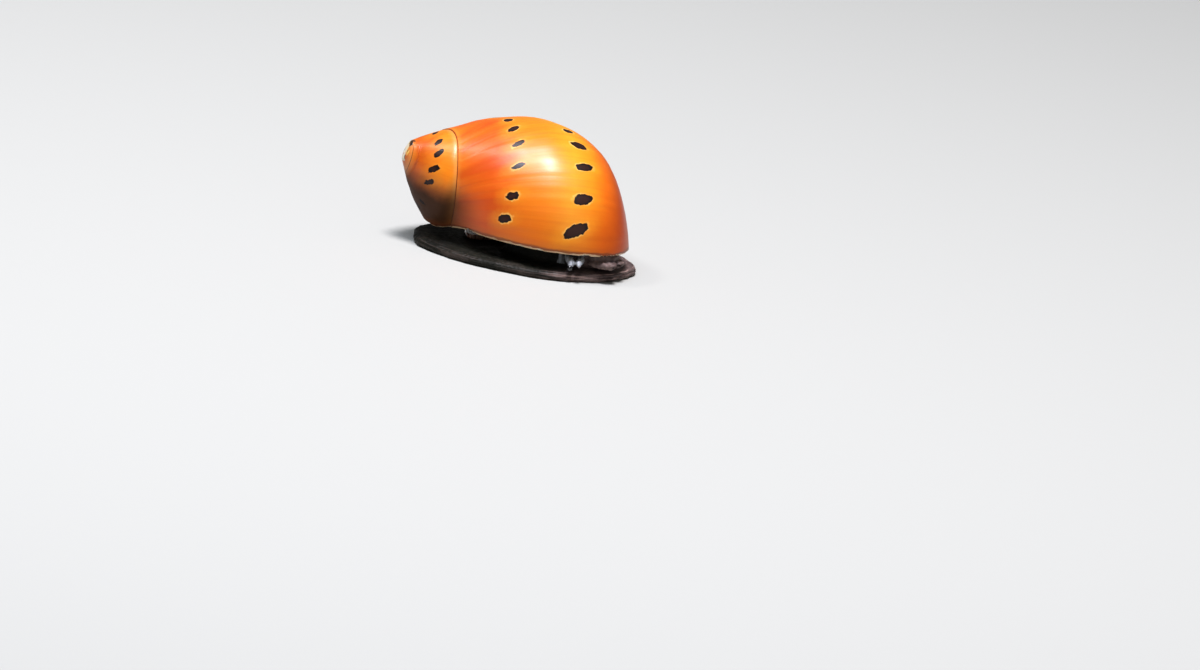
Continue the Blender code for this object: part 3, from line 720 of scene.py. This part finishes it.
class Looks:
    """Builds one procedural material around its Principled shader."""

    def __init__(self, name):
        self.made = bpy.data.materials.get(name) or bpy.data.materials.new(name)
        self.made.use_nodes = True
        self.tree = self.made.node_tree
        self.shader = self.tree.nodes["Principled BSDF"]

    def put(self, socket, value):
        if isinstance(value, bpy.types.NodeSocket):
            self.tree.links.new(value, socket)
        elif isinstance(value, tuple) and len(value) == 3 and len(socket.default_value) == 4:
            socket.default_value = (*value, 1.0)
        else:
            socket.default_value = value

    def add(self, kind, settings=None, inputs=None, output=0):
        made = self.tree.nodes.new("ShaderNode" + kind)
        for key, value in (settings or {}).items():
            setattr(made, key, value)
        for key, value in (inputs or {}).items():
            self.put(made.inputs[key], value)
        return made.outputs[output]

    def value(self, name):
        return self.add("Attribute", {"attribute_name": name}, output="Fac")

    def math(self, operation, first, second=0.0, third=0.0):
        return self.add("Math", {"operation": operation}, {0: first, 1: second, 2: third})

    def step(self, value, start, end):
        """0 at start and 1 at end, smoothly."""
        settings = {"interpolation_type": "SMOOTHSTEP"}
        return self.add("MapRange", settings, {"Value": value, "From Min": start, "From Max": end})

    def falling(self, value, start, end):
        return self.math("SUBTRACT", 1.0, self.step(value, start, end))

    def mix(self, share, first, second, blend="MIX"):
        made = self.tree.nodes.new("ShaderNodeMix")
        made.data_type = "RGBA"
        made.blend_type = blend
        self.put(made.inputs["Factor"], share)
        self.put(made.inputs["A"] if False else made.inputs[6], first)
        self.put(made.inputs[7], second)
        return made.outputs[2]

    def ramp(self, value, stops):
        made = self.tree.nodes.new("ShaderNodeValToRGB")
        self.put(made.inputs["Fac"], value)
        marks = made.color_ramp.elements
        while len(marks) < len(stops):
            marks.new(0.5)
        for mark, (place_, colour) in zip(marks, stops):
            mark.position = place_
            mark.color = (*colour, 1.0)
        return made.outputs["Color"]

    def place(self):
        return self.add("TexCoord", output="Object")

    def grain(self, scale, detail=3.0, rough=0.5, vector=None):
        inputs = {"Scale": scale, "Detail": detail, "Roughness": rough}
        inputs["Vector"] = vector if vector is not None else self.place()
        return self.add("TexNoise", None, inputs)

    def streaks(self, along, across, detail=3.0):
        """Noise drawn out along the growth lines of the shell."""
        age = self.math("MULTIPLY", self.value("growth"), along)
        share = self.math("MULTIPLY", self.value("share"), across)
        vector = self.add("CombineXYZ", None, {"X": age, "Y": share})
        return self.grain(1.0, detail, 0.55, vector)

    def bump(self, heights, strength, distance):
        self.put(self.shader.inputs["Normal"],
                 self.add("Bump", None, {"Height": heights, "Strength": strength, "Distance": distance}))

    def finish(self, **sockets):
        for key, value in sockets.items():
            self.put(self.shader.inputs[key.replace("_", " ")], value)
        return self.made


def shell_outside():
    look = Looks("shell_outside")
    wander = look.math("MULTIPLY_ADD", look.grain(700.0, 2.0), 0.05, -0.025)
    share = look.math("ADD", look.value("share"), wander)
    colour = look.ramp(share, SHELL_BANDS)
    # Redder growth bands in the upper zone, and fine streaks all over
    broad = look.step(look.streaks(16.0, 1.2, 2.0), 0.42, 0.68)
    zone = look.falling(look.value("share"), 0.2, 0.34)
    colour = look.mix(look.math("MULTIPLY", look.math("MULTIPLY", broad, zone), 0.6), colour, (0.58, 0.06, 0.003))
    fine = look.step(look.streaks(150.0, 1.0, 4.0), 0.35, 0.75)
    colour = look.mix(look.math("MULTIPLY", fine, 0.25), colour, (0.60, 0.11, 0.006))
    pale = look.step(look.streaks(60.0, 3.0, 3.0), 0.55, 0.8)
    colour = look.mix(look.math("MULTIPLY", pale, 0.18), colour, (0.95, 0.42, 0.06))
    # The spire is deeper in colour; towards the underside the colour turns a darker red, partly real colour and
    # partly painted shade, and a painted shade darkens the lower spire side further on
    deeper = look.math("MULTIPLY", look.falling(look.value("side"), -9.6, -6.8), 0.45)
    colour = look.mix(deeper, colour, (0.50, 0.11, 0.004))
    # Darker red towards the underside: partly real colour, partly painted shade
    under = look.math("MULTIPLY", look.falling(look.value("rim"), 0.8, 6.5), 0.45)
    colour = look.mix(under, colour, (0.50, 0.070, 0.001))
    # Painted shade: a near-black brown over the lower spire side and the body whorl's lower left, where shade falls
    low = look.math("MULTIPLY_ADD", look.value("side"), 0.3, look.value("rim"))
    low = look.math("ADD", low, look.math("MULTIPLY_ADD", look.grain(420.0, 4.0), 1.6, -0.8))
    painted_shade = look.math("MULTIPLY", look.falling(low, 0.4, 3.1), look.falling(look.value("side"), -7.0, -2.8))
    # Suture: a dark line, and a paler edge on the older whorl that is a painted highlight
    seam = look.value("suture")
    older = look.math("MULTIPLY", look.step(seam, -0.75, -0.1), look.falling(seam, -0.02, 0.02))
    # Painted highlight: pale edge of the older whorl beside the suture
    colour = look.mix(look.math("MULTIPLY", older, 0.3), colour, (0.88, 0.46, 0.18))
    younger = look.math("MULTIPLY", look.step(seam, 0.02, 0.05), look.falling(seam, 0.1, 0.6))
    colour = look.mix(look.math("MULTIPLY", younger, 0.25), colour, (0.85, 0.36, 0.06))
    line = look.math("MULTIPLY", look.step(seam, -0.035, 0.0), look.falling(seam, 0.02, 0.06))
    line = look.math("MULTIPLY", line, look.math("MULTIPLY_ADD", look.grain(500.0, 2.0), 0.7, 0.4))
    colour = look.mix(line, colour, (0.07, 0.018, 0.006))
    # The painted shade is mixed in over the lower spire side
    colour = look.mix(look.math("MULTIPLY", painted_shade, 0.95), colour, (0.032, 0.015, 0.006))
    # Spots, with a pale halo and a blacker rim
    edge = look.math("MULTIPLY_ADD", look.grain(2500.0, 3.0), 0.38, -0.22)
    spot = look.math("ADD", look.value("spot"), edge)
    # Spot zones and halos are kept off the painted shade
    outside_painted_shade = look.math("SUBTRACT", 1.0, painted_shade)
    zone = look.math("MULTIPLY", look.falling(spot, 0.1, 0.9), look.math("MULTIPLY", outside_painted_shade, 0.32))
    colour = look.mix(zone, colour, (0.88, 0.36, 0.02))
    patchy = look.step(look.grain(900.0, 2.0), 0.35, 0.65)
    halo = look.math("MULTIPLY", look.falling(spot, 0.03, 0.17), look.math("MULTIPLY_ADD", patchy, 0.55, 0.12))
    halo = look.math("MULTIPLY", halo, look.math("MULTIPLY", outside_painted_shade, look.step(look.value("side"), -9.0, -4.0)))
    colour = look.mix(halo, colour, (0.96, 0.62, 0.17))
    dark = look.mix(look.step(spot, -0.24, -0.05), (0.034, 0.008, 0.004), (0.004, 0.001, 0.001))
    colour = look.mix(look.falling(spot, -0.03, 0.03), colour, dark)
    # Worn tip: chalky and yellowish, with black patches
    worn = look.math("ADD", look.value("tip"), look.math("MULTIPLY_ADD", look.grain(1500.0, 3.0), 1.7, -0.85))
    chalk = look.mix(look.step(look.grain(900.0, 2.0), 0.42, 0.6), (0.80, 0.52, 0.13), (0.72, 0.66, 0.52))
    chalk = look.mix(look.step(look.grain(1100.0, 1.0, 0.4), 0.54, 0.6), chalk, (0.03, 0.018, 0.012))
    worn_share = look.falling(worn, -0.15, 0.01)
    colour = look.mix(worn_share, colour, chalk)
    # Rim of the lip: a brownish band that ends in a pale, chipped edge
    rim = look.math("ADD", look.value("rim"), look.math("MULTIPLY_ADD", look.streaks(90.0, 8.0), 0.5, -0.25))
    colour = look.mix(look.math("MULTIPLY", look.falling(rim, 0.1, 1.2), 0.35), colour, (0.34, 0.10, 0.02))
    brown = look.math("MULTIPLY", look.step(rim, 0.1, 0.2), look.falling(rim, 0.3, 0.5))
    colour = look.mix(look.math("MULTIPLY", brown, 0.65), colour, (0.12, 0.035, 0.012))
    colour = look.mix(look.math("MULTIPLY", look.falling(rim, 0.12, 0.2), 0.95), colour, (0.68, 0.50, 0.32))
    rough = look.math("ADD", look.math("MULTIPLY_ADD", look.grain(1200.0, 3.0), 0.14, 0.36),
                      look.math("MULTIPLY", look.math("MAXIMUM", worn_share, painted_shade), 0.3))
    coat = look.math("MULTIPLY_ADD", painted_shade, -0.44, 0.48)
    heights = look.math("ADD", look.math("MULTIPLY", look.streaks(260.0, 2.0, 4.0), 1.0),
                        look.math("MULTIPLY", look.grain(5000.0, 2.0), 0.15))
    look.bump(heights, 0.35, 0.00003)
    look.finish(Base_Color=colour, Roughness=rough, IOR=1.4, Coat_Weight=coat, Coat_Roughness=0.3,
                Subsurface_Weight=0.05, Subsurface_Radius=(1.0, 0.4, 0.15), Subsurface_Scale=0.0006)


def shell_inside():
    look = Looks("shell_inside")
    patch = look.grain(350.0, 3.0)
    colour = look.ramp(patch, [(0.3, (0.62, 0.50, 0.36)), (0.55, (0.80, 0.72, 0.58)), (0.8, (0.86, 0.80, 0.70))])
    rough = look.math("MULTIPLY_ADD", look.grain(1500.0), 0.2, 0.18)
    look.bump(look.grain(2500.0, 3.0), 0.2, 0.00003)
    look.finish(Base_Color=colour, Roughness=rough, Coat_Weight=0.3, Coat_Roughness=0.15)


shell = place(finish_shell(make_shell()))
shell.data.shade_smooth()
shell.data.set_sharp_from_angle(angle=math.radians(50))
shell_outside()
shell_inside()
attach(shell, "root")
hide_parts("shell")


def simple_material(name, colour, roughness):
    return Looks(name).finish(Base_Color=colour, Roughness=roughness)


# Flesh --------------------------------------------------------------------------------------


def ball(name, middle, radii, axes=np.eye(3), segments=48, rings=28):
    mesh = bmesh.new()
    bmesh.ops.create_uvsphere(mesh, u_segments=segments, v_segments=rings, radius=1.0)
    turned = np.array(axes)
    for vert in mesh.verts:
        vert.co = middle + (np.array(vert.co) * radii) @ turned
    if mesh.calc_volume(signed=True) < 0:
        bmesh.ops.reverse_faces(mesh, faces=mesh.faces)
    data = bpy.data.meshes.new(name)
    mesh.to_mesh(data)
    mesh.free()
    obj = bpy.data.objects.new(name, data)
    bpy.context.scene.collection.objects.link(obj)
    return obj


def tube(name, points, radii, sides=24, steps=24):
    """Tapered tube with rounded ends along a smooth path."""
    stations = np.linspace(0, 1, len(points))
    path = hermite(np.column_stack([points, radii]), stations, np.linspace(0, 1, steps))
    places, sizes = path[:, :3], path[:, 3]
    ways = np.gradient(places, axis=0)
    ways /= np.linalg.norm(ways, axis=1)[:, None]
    rings = []
    around = np.linspace(0, 2 * math.pi, sides, endpoint=False)

    def ring(place_, way, size):
        first = np.cross(way, UP)
        first /= np.linalg.norm(first)
        second = np.cross(way, first)
        return place_ + size * (np.outer(np.cos(around), first) + np.outer(np.sin(around), second))

    for q in (0.1, 0.5, 0.85):
        rings.append(ring(places[0] - ways[0] * sizes[0] * math.sqrt(1 - q * q), ways[0], sizes[0] * q))
    rings += [ring(*step) for step in zip(places, ways, sizes)]
    for q in (0.95, 0.8, 0.55, 0.15):
        rings.append(ring(places[-1] + ways[-1] * sizes[-1] * math.sqrt(1 - q * q), ways[-1], sizes[-1] * q))
    return loft(name, rings)


def foot_outline(count):
    angles = np.linspace(0, 2 * math.pi, count, endpoint=False)
    wave = 1 + 0.012 * np.sin(5 * angles + 1) + 0.008 * np.sin(9 * angles)
    wave += FRILL * (np.sin(23 * angles + 2 * np.sin(3 * angles)) + 0.6 * np.sin(41 * angles + 1))
    ahead = FOOT_LENGTH / 2 * np.cos(angles) * wave
    across = FOOT_WIDTH / 2 * np.sin(angles) * wave * (1 + 0.06 * np.cos(angles))
    forward = np.array([math.cos(FOOT_FACING), math.sin(FOOT_FACING)])
    return FOOT_MIDDLE + np.outer(ahead, forward) + np.outer(across, [-forward[1], forward[0]])


def inset_rings(outline, steps, floor):
    return [
        np.column_stack([drawn_in(outline, inset * MM), np.full(len(outline), floor + rise * MM)])
        for rise, inset in steps
    ]


def flesh_pieces():
    """What the skin is drawn over: every fleshy part, a little longer where one meets another."""
    outline = foot_outline(360)
    pieces = [loft("flesh_skin", inset_rings(outline, FOOT_STEPS, 0.0))]
    aperture = aperture_outline(220, 60)
    pieces.append(loft("neck", level_rings(aperture, NECK_STEPS, LIP_HEIGHT)))
    inner = drawn_in(aperture, 0.3 * MM)
    pieces.append(loft("mantle", level_rings(inner, MANTLE_STEPS, LIP_HEIGHT)))
    axes = [FORWARD, RIGHT, UP]
    pieces.append(ball("head", HEAD_MIDDLE, HEAD_RADII, axes))
    pieces.append(ball("throat", head_point(THROAT_PLACE), THROAT_RADII, axes))
    pieces.append(ball("forehead", head_point(FOREHEAD_PLACE), FOREHEAD_RADII, axes))
    for side in (1, -1):
        pieces.append(ball("lobe", head_point(SNOUT_PLACE, side), SNOUT_RADII, axes))
        pieces.append(tube("feeler", side_path(FEELER_PATH, side), FEELER_RADII))
        pieces.append(tube("stalk", side_path(STALK_PATH, side), STALK_RADII))
        end = side_path(STALK_PATH, side)[-1]
        pieces.append(ball("socket", end * 0.45 + eye_middle(side) * 0.55, np.full(3, SOCKET_RADIUS)))
    return pieces


def skin_over(pieces):
    """One closed skin over the joined pieces, evenly meshed and softened."""
    skin = combine(pieces, "UNION")
    remesh = skin.modifiers.new("even", "REMESH")
    remesh.mode = "VOXEL"
    remesh.voxel_size = SKIN_MESH
    smooth = skin.modifiers.new("soft", "SMOOTH")
    smooth.factor = 0.5
    smooth.iterations = 5
    bpy.context.view_layer.update()
    graph = bpy.context.evaluated_depsgraph_get()
    data = bpy.data.meshes.new_from_object(skin.evaluated_get(graph))
    bpy.data.objects.remove(skin, do_unlink=True)
    made = bpy.data.objects.new("flesh_skin", data)
    bpy.context.scene.collection.objects.link(made)
    return keep_largest(made)


def skin_normals(obj):
    flat = np.zeros(len(obj.data.vertices) * 3)
    obj.data.vertex_normals.foreach_get("vector", flat)
    return flat.reshape(-1, 3)


def head_places(points):
    """Forward, right and up from the head's middle, in mm."""
    offset = (points - HEAD_MIDDLE) / MM
    return offset @ FORWARD, offset @ RIGHT, offset @ UP


def foot_edge(points):
    """mm in from the foot's outline, and the angle round the foot."""
    outline = foot_outline(360)
    offset = points[:, :2] - FOOT_MIDDLE
    angle = np.arctan2(offset[:, 1], offset[:, 0])
    around = np.arctan2(*(outline - FOOT_MIDDLE).T[::-1])
    order = np.argsort(around)
    reach = np.linalg.norm(outline - FOOT_MIDDLE, axis=1)
    edge = np.interp(angle, around[order], reach[order], period=2 * math.pi)
    return (edge - np.linalg.norm(offset, axis=1)) / MM, angle


def wrinkle(skin):
    """Folds at the foot's edge, lips round the mouth, rings on the feelers and fine pebbling."""
    points, normals = read_coords(skin), skin_normals(skin)
    inward, angle = foot_edge(points)
    ahead, right, up = head_places(points)
    low = 1 - ease(points[:, 2], 0.8 * MM, 1.2 * MM)
    rim = low * (1 - ease(inward, 0.5, 2.4)) * ease(points[:, 2], 0.05 * MM, 0.3 * MM)
    warp = noise_at(points, 500.0, 2.0)
    folds = np.sin(95 * angle + 9 * warp) * 0.5 + np.sin(57 * angle + 14 * warp) * 0.5
    lift = rim * folds * 0.022
    # A furrow runs along the foot's edge, and deeper round its front
    front = ease(np.cos(angle - FOOT_FACING), 0.3, 0.9)
    furrow = np.exp(-(((points[:, 2] / MM - 0.52) / 0.07) ** 2)) * (inward < 0.6)
    lift -= furrow * (0.03 + 0.09 * front)
    snout = ease(ahead, 0.9, 1.8) * (np.abs(right) < 2.6) * (up < 0.6) * (up > -1.7)
    lift += snout * 0.035 * np.sin(right * 9 + 2.5 * warp) * ease(np.abs(right), 0.0, 0.2)
    lift += snout * 0.02 * np.sin(ahead * 14 + 3 * warp)
    mouth = np.exp(-((up - MOUTH_UP) / 0.075) ** 2) * ease(ahead, 2.4, 3.0) * (1 - ease(np.abs(right), 0.9, 1.35))
    lips = np.exp(-((np.abs(up - MOUTH_UP) - 0.2) / 0.08) ** 2) * ease(ahead, 2.6, 3.2)
    lift += 0.05 * lips * (1 - ease(np.abs(right), 1.0, 1.5)) - 0.24 * mouth
    limb = ease(np.abs(right), 1.9, 2.3) * (points[:, 2] > 1.15 * MM) * (ahead > -1.6) * (ahead < 2.6)
    lift += limb * 0.014 * np.sin(np.abs(right) * 24 + 2 * warp)
    body = 1 - limb
    lift += body * (0.032 * noise_at(points, 1900.0, 1.0) + 0.024 * noise_at(points, 4300.0, 4.0)) * (points[:, 2] > 0.05 * MM)
    points = points + normals * (lift * MM)[:, None]
    points[:, 2] = np.maximum(points[:, 2], 0.0)
    write_coords(skin, points)
    add_values(skin, "edge", inward)
    add_values(skin, "limb", limb)
    add_values(skin, "folds", folds * rim)
    add_values(skin, "mouth", np.clip(mouth, 0, 1))
    add_values(skin, "height", points[:, 2] / MM)
    add_values(skin, "front", (points - SHELL_POLE * [0, 0, 1]) @ FORWARD / MM)


def flesh_surface():
    look = Looks("flesh_surface")
    height = look.value("height")
    mottle = look.grain(420.0, 4.0, 0.6)
    # Near-black flesh: partly its own dark colour, partly painted shade where the foot lies under the shell
    colour = look.ramp(mottle, [
        (0.32, (0.005, 0.005, 0.003)), (0.48, (0.009, 0.009, 0.005)),
        (0.60, (0.015, 0.014, 0.009)), (0.76, (0.034, 0.028, 0.021)),
    ])
    fine = look.step(look.grain(2600.0, 3.0, 0.6), 0.5, 0.72)
    colour = look.mix(look.math("MULTIPLY", fine, 0.15), colour, (0.08, 0.062, 0.05))
    # The front is a paler, purplish grey-brown: partly its own colour, partly painted light on the lit end against
    # the painted shade of the rest
    front = look.math("MULTIPLY", look.step(look.value("front"), 6.0, 10.5), 0.75)
    colour = look.mix(front, colour, look.ramp(mottle, [
        (0.3, (0.075, 0.050, 0.049)), (0.5, (0.19, 0.135, 0.125)), (0.75, (0.34, 0.25, 0.22)),
    ]))
    # Pale streaks along the folds of the foot's edge
    edge = look.math("MULTIPLY", look.falling(look.value("edge"), 0.2, 1.6), look.falling(height, 0.75, 1.1))
    level = look.add("VectorMath", {"operation": "MULTIPLY"}, {0: look.place(), 1: (260.0, 260.0, 0.0)})
    depth = look.math("MULTIPLY", look.math("ADD", look.value("edge"), height), 3.2)
    rise = look.add("CombineXYZ", None, {"Z": depth})
    drawn = look.grain(1.0, 3.0, 0.55, look.add("VectorMath", {"operation": "ADD"}, {0: level, 1: rise}))
    streak = look.math("MULTIPLY", edge, look.step(drawn, 0.50, 0.62))
    strength = look.math("MULTIPLY_ADD", front, 0.9, 0.06)
    colour = look.mix(look.math("MULTIPLY", streak, strength), colour, (0.62, 0.45, 0.40))
    sole = look.falling(height, 0.01, 0.06)
    colour = look.mix(sole, colour, look.ramp(mottle, [(0.3, (0.30, 0.26, 0.19)), (0.8, (0.52, 0.46, 0.35))]))
    # Feelers and stalks are paler, with fine dark rings
    across = look.add("SeparateXYZ", None, {"Vector": look.place()}, output=0)
    rings = look.add("TexWave", {"wave_type": "BANDS"}, {"Scale": 900.0, "Distortion": 3.0, "Vector": look.place()})
    pale = look.mix(look.math("MULTIPLY", look.step(rings, 0.55, 0.9), 0.5), (0.44, 0.46, 0.49), (0.17, 0.165, 0.17))
    colour = look.mix(look.math("MULTIPLY", look.value("limb"), 0.92), colour, pale)
    colour = look.mix(look.step(look.value("mouth"), 0.1, 0.75), colour, (0.006, 0.003, 0.003))
    rough = look.math("MULTIPLY_ADD", look.grain(1800.0), 0.25, 0.48)
    bumps = look.math("ADD", look.grain(5200.0, 3.0), look.math("MULTIPLY", look.grain(1700.0, 2.0), 0.6))
    look.bump(bumps, 0.85, 0.00006)
    look.finish(Base_Color=colour, Roughness=rough, IOR=1.3, Coat_Weight=0.05, Coat_Roughness=0.3,
                Subsurface_Weight=0.06, Subsurface_Radius=(1.0, 0.45, 0.3), Subsurface_Scale=0.0004)
    return look.made


def eye_surface():
    look = Looks("eye_surface")
    blot = look.grain(3000.0, 2.0)
    colour = look.ramp(blot, [(0.35, (0.004, 0.004, 0.005)), (0.8, (0.02, 0.018, 0.02))])
    return look.finish(Base_Color=colour, Roughness=look.math("MULTIPLY_ADD", blot, 0.08, 0.04),
                       Coat_Weight=1.0, Coat_Roughness=0.03)


def operculum_rings():
    """Half-moon plate with growth ridges that run round its core near the straight side."""
    angles = np.linspace(0, math.pi, 200)
    bow = np.column_stack([np.cos(angles) * OPERCULUM_LENGTH / 2, (np.sin(angles) - 0.5) * OPERCULUM_DEPTH])
    outline = OPERCULUM_MIDDLE + softened(bow, 200, 22) @ np.array(deck_axes())
    rings = inset_rings(outline, [(0.0, 0.14), (0.08, 0.03), (0.2, 0.0), (0.32, 0.03), (0.42, 0.1)], OPERCULUM_FLOOR)
    core = outline.mean(axis=0) + np.array(deck_axes()).T @ np.array([1.6, -1.2]) * MM
    for k in range(1, 60):
        share = k / 60
        rise = 0.44 + 0.16 * math.sin(share * math.pi / 2) + 0.012 * math.sin(share * 75)
        plan = outline + (core - outline) * share
        rings.append(np.column_stack([plan, np.full(len(plan), OPERCULUM_FLOOR + rise * MM)]))
    return rings, core


def make_operculum():
    rings, core = operculum_rings()
    plate = loft("operculum_plate", rings)
    points = read_coords(plate)
    offset = (points[:, :2] - core) / MM
    add_values(plate, "reach", np.linalg.norm(offset, axis=1))
    add_values(plate, "bearing", np.arctan2(offset[:, 1], offset[:, 0]) / (2 * math.pi))
    return plate


def operculum_surface():
    look = Looks("operculum_surface")
    reach = look.value("reach")
    wander = look.math("MULTIPLY_ADD", look.grain(500.0), 0.5, reach)
    lines = look.add("CombineXYZ", None, {"X": look.math("MULTIPLY", wander, 5.0)})
    bands = look.grain(1.0, 4.0, 0.6, lines)
    colour = look.ramp(bands, [
        (0.34, (0.15, 0.055, 0.035)), (0.5, (0.24, 0.105, 0.065)), (0.66, (0.33, 0.19, 0.13)),
    ])
    colour = look.mix(look.falling(reach, 0.2, 1.3), colour, (0.34, 0.12, 0.07))
    look.bump(look.math("ADD", bands, look.math("MULTIPLY", look.grain(3000.0), 0.2)), 0.4, 0.00005)
    return look.finish(Base_Color=colour, Roughness=look.math("MULTIPLY_ADD", bands, 0.2, 0.18),
                       Coat_Weight=0.4, Coat_Roughness=0.1)


def dress(obj, surface, slot, *nodes):
    """Gives a piece its material, and lets it stand for its CAD nodes."""
    obj.data.materials.clear()
    obj.data.materials.append(surface)
    obj.data.shade_smooth()
    place(obj)
    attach(obj, "root")
    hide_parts(*nodes)


skin = skin_over(flesh_pieces())
wrinkle(skin)
print("skin", len(skin.data.vertices))
dress(skin, flesh_surface(), "foot", "foot", "neck", "mantle", "head", "tentacle_right", "tentacle_left",
      "eye_stalk_right", "eye_stalk_left")
for word, side in (("right", 1), ("left", -1)):
    bead = ball("eye_bead_" + word, eye_middle(side), np.full(3, EYE_RADIUS))
    dress(bead, eye_surface(), "eye_" + word, "eye_" + word)
dress(make_operculum(), operculum_surface(), "operculum", "operculum")


# Stage --------------------------------------------------------------------------------------


def make_floor():
    floor = add_object("floor", [(-3, -3, 0), (3, -3, 0), (3, 3, 0), (-3, 3, 0)], [(0, 1, 2, 3)])
    floor.data.materials.append(simple_material("floor_surface", (0.497, 0.503, 0.466), 0.7))


def add_light(name, azimuth, elevation, distance, size, power, colour=(1, 1, 1)):
    """Soft square light; azimuth 0 is the camera's side and 90 the right."""
    lamp = bpy.data.lights.new(name, "AREA")
    lamp.shape = "DISK"
    lamp.size = size
    lamp.energy = power
    lamp.color = colour
    holder = bpy.data.objects.new(name, lamp)
    a, e = math.radians(azimuth), math.radians(elevation)
    way = Vector((math.sin(a) * math.cos(e), -math.cos(a) * math.cos(e), math.sin(e)))
    holder.location = way * distance
    holder.rotation_mode = "QUATERNION"
    holder.rotation_quaternion = way.to_track_quat("Z", "Y")
    bpy.context.scene.collection.objects.link(holder)


def make_stage():
    make_floor()
    add_light("key", 0, 84, 0.5, 0.15, 2.6, (0.98, 0.94, 1.0))
    add_light("sky", -40, 72, 0.5, 0.26, 0.95, (0.74, 0.82, 1.0))
    add_light("side", -88, 58, 0.55, 0.08, 0.38, (0.96, 0.97, 1.0))
    add_light("front", 28, 30, 0.7, 0.4, 0.18, (1.0, 0.98, 0.95))
    world = bpy.data.worlds.new("studio")
    world.use_nodes = True
    world.node_tree.nodes["Background"].inputs["Color"].default_value = (0.9, 0.92, 0.95, 1.0)
    world.node_tree.nodes["Background"].inputs["Strength"].default_value = 0.155
    bpy.context.scene.world = world
    bpy.context.scene.view_settings.view_transform = "Standard"
    bpy.context.scene.view_settings.look = "Medium High Contrast"


def make_camera():
    right = CAMERA_RIGHT / np.linalg.norm(CAMERA_RIGHT)
    back = CAMERA_BACK / np.linalg.norm(CAMERA_BACK)
    up = np.cross(back, right)
    up /= np.linalg.norm(up)
    right = np.cross(up, back)
    aim = SHELL_POLE + SHIFT + right * CAMERA_AIM[0] + up * CAMERA_AIM[1]
    lens = bpy.data.cameras.new("photo_view")
    lens.sensor_width = SENSOR
    lens.lens = SENSOR * CAMERA_DISTANCE / VIEW_WIDTH
    lens.clip_start, lens.clip_end = 0.05, 20.0
    camera = bpy.data.objects.new("photo_view", lens)
    turned = Matrix((right, up, back)).transposed()
    camera.matrix_world = Matrix.Translation(aim + back * CAMERA_DISTANCE) @ turned.to_4x4()
    bpy.context.scene.collection.objects.link(camera)
    bpy.context.scene.camera = camera


make_stage()
make_camera()
